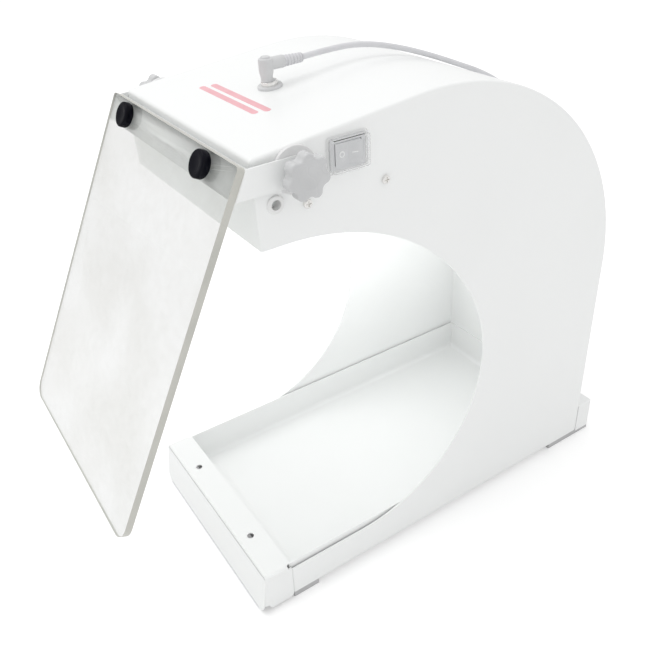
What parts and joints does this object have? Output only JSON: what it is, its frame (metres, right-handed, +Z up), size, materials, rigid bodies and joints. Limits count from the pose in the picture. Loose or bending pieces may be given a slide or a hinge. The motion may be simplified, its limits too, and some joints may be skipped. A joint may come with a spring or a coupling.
{
  "type": "polishing lathe splash hood",
  "caption": "Bench-top steel splash hood with C-shaped side openings, a lamp in its head, a catch tray and a clear shield on a tilting bracket.",
  "frame": {"origin": "on the bench under the middle of the object's box, without the cord, its plug, coil and adapter", "axes": "+X to the right of a user who faces the shield, +Y from the shield to the back of the hood, +Z up"},
  "size_m": [0.274, 0.6779, 0.4882],
  "materials": {
    "white_paint": "smooth semi-gloss powder coat",
    "clear_acrylic": "polished clear acrylic, 6 mm",
    "black_knob": "smooth moulded plastic",
    "star_knob_plastic": "moulded plastic, satin gloss",
    "foot_rubber": "matt rubber",
    "trim_rubber": "matt rubber",
    "zinc_steel": "zinc-plated steel",
    "screw_steel": "nickel-plated screw",
    "white_nylon": "moulded nylon",
    "switch_plastic": "moulded switch plastic",
    "boot_clear": "clear flexible vinyl",
    "opal_acrylic": "frosted opal acrylic",
    "led_board": "white solder mask on aluminium",
    "led_phosphor": "yellow phosphor in white package",
    "inlet_plastic": "moulded plastic",
    "inlet_nickel": "nickel plate",
    "brass_contact": "bare brass",
    "cord_vinyl": "matt vinyl jacket",
    "lead_vinyl": "thin vinyl insulation",
    "adapter_plastic": "fine-textured moulded plastic"
  },
  "bodies": {
    "hood": {"base_pan": "white_paint", "rear_bar": "white_paint", "hood_skin": "white_paint", "hood_side_right": "white_paint", "hood_side_left": "white_paint", "front_edge_trim": "trim_rubber", "front_foot_right": "foot_rubber", "front_foot_left": "foot_rubber", "rear_foot_right": "foot_rubber", "rear_foot_left": "foot_rubber", "friction_disc_right": "star_knob_plastic", "friction_disc_left": "star_knob_plastic", "rivet_nut_right": "zinc_steel", "rivet_nut_left": "zinc_steel", "lamp_tray": "white_paint", "lamp_screws": "screw_steel", "lamp_nuts": "zinc_steel", "lamp_diffuser": "opal_acrylic", "lamp_reflector": "white_paint", "led_board": "led_board", "led_chips": "led_phosphor", "snap_bushing": "white_nylon", "switch_housing": "switch_plastic", "switch_boot": "boot_clear", "switch_terminals": "brass_contact", "jack_body": "inlet_plastic", "jack_ring": "inlet_nickel", "jack_nut": "inlet_nickel", "jack_pin": "brass_contact", "jack_leads": "lead_vinyl", "lamp_leads": "lead_vinyl", "plug_sleeve": "inlet_nickel", "plug_body": "inlet_plastic", "plug_relief": "cord_vinyl", "power_cord": "cord_vinyl", "cord_coil": "cord_vinyl", "power_adapter": "adapter_plastic", "adapter_relief": "cord_vinyl", "adapter_blades": "inlet_nickel"},
    "shield_frame": {"shield": "clear_acrylic", "shield_bracket": "white_paint", "shield_nuts": "zinc_steel"},
    "shield_knob_right_body": {"shield_knob_right": "black_knob", "shield_stud_right": "zinc_steel"},
    "shield_knob_left_body": {"shield_knob_left": "black_knob", "shield_stud_left": "zinc_steel"},
    "star_knob_right_body": {"star_knob_right": "star_knob_plastic", "star_stud_right": "zinc_steel"},
    "star_knob_left_body": {"star_knob_left": "star_knob_plastic", "star_stud_left": "zinc_steel"},
    "switch_rocker_body": {"switch_rocker": "switch_plastic"}
  },
  "joints": [
    {"name": "shield_tilt", "type": "hinge", "parent": "hood", "child": "shield_frame", "pos_m": [0, -0.10726, 0.4393], "axis": [-1, 0, 0], "range_deg": [-30, 100]},
    {"name": "star_knob_right_turn", "type": "hinge", "parent": "hood", "child": "star_knob_right_body", "pos_m": [0.13, -0.10726, 0.4393], "axis": [-1, 0, 0], "range_deg": [0, 360]},
    {"name": "star_knob_left_turn", "type": "hinge", "parent": "hood", "child": "star_knob_left_body", "pos_m": [-0.13, -0.10726, 0.4393], "axis": [1, 0, 0], "range_deg": [0, 360]},
    {"name": "shield_knob_right_turn", "type": "hinge", "parent": "shield_frame", "child": "shield_knob_right_body", "pos_m": [0.074, -0.15616, 0.4423], "axis": [0, 0.8973, -0.4415], "range_deg": [0, 720]},
    {"name": "shield_knob_left_turn", "type": "hinge", "parent": "shield_frame", "child": "shield_knob_left_body", "pos_m": [-0.074, -0.15616, 0.4423], "axis": [0, 0.8973, -0.4415], "range_deg": [0, 720]},
    {"name": "switch_press", "type": "hinge", "parent": "hood", "child": "switch_rocker_body", "pos_m": [0.111, -0.06136, 0.441], "axis": [0, 0, 1], "range_deg": [0, 14]}
  ]
}
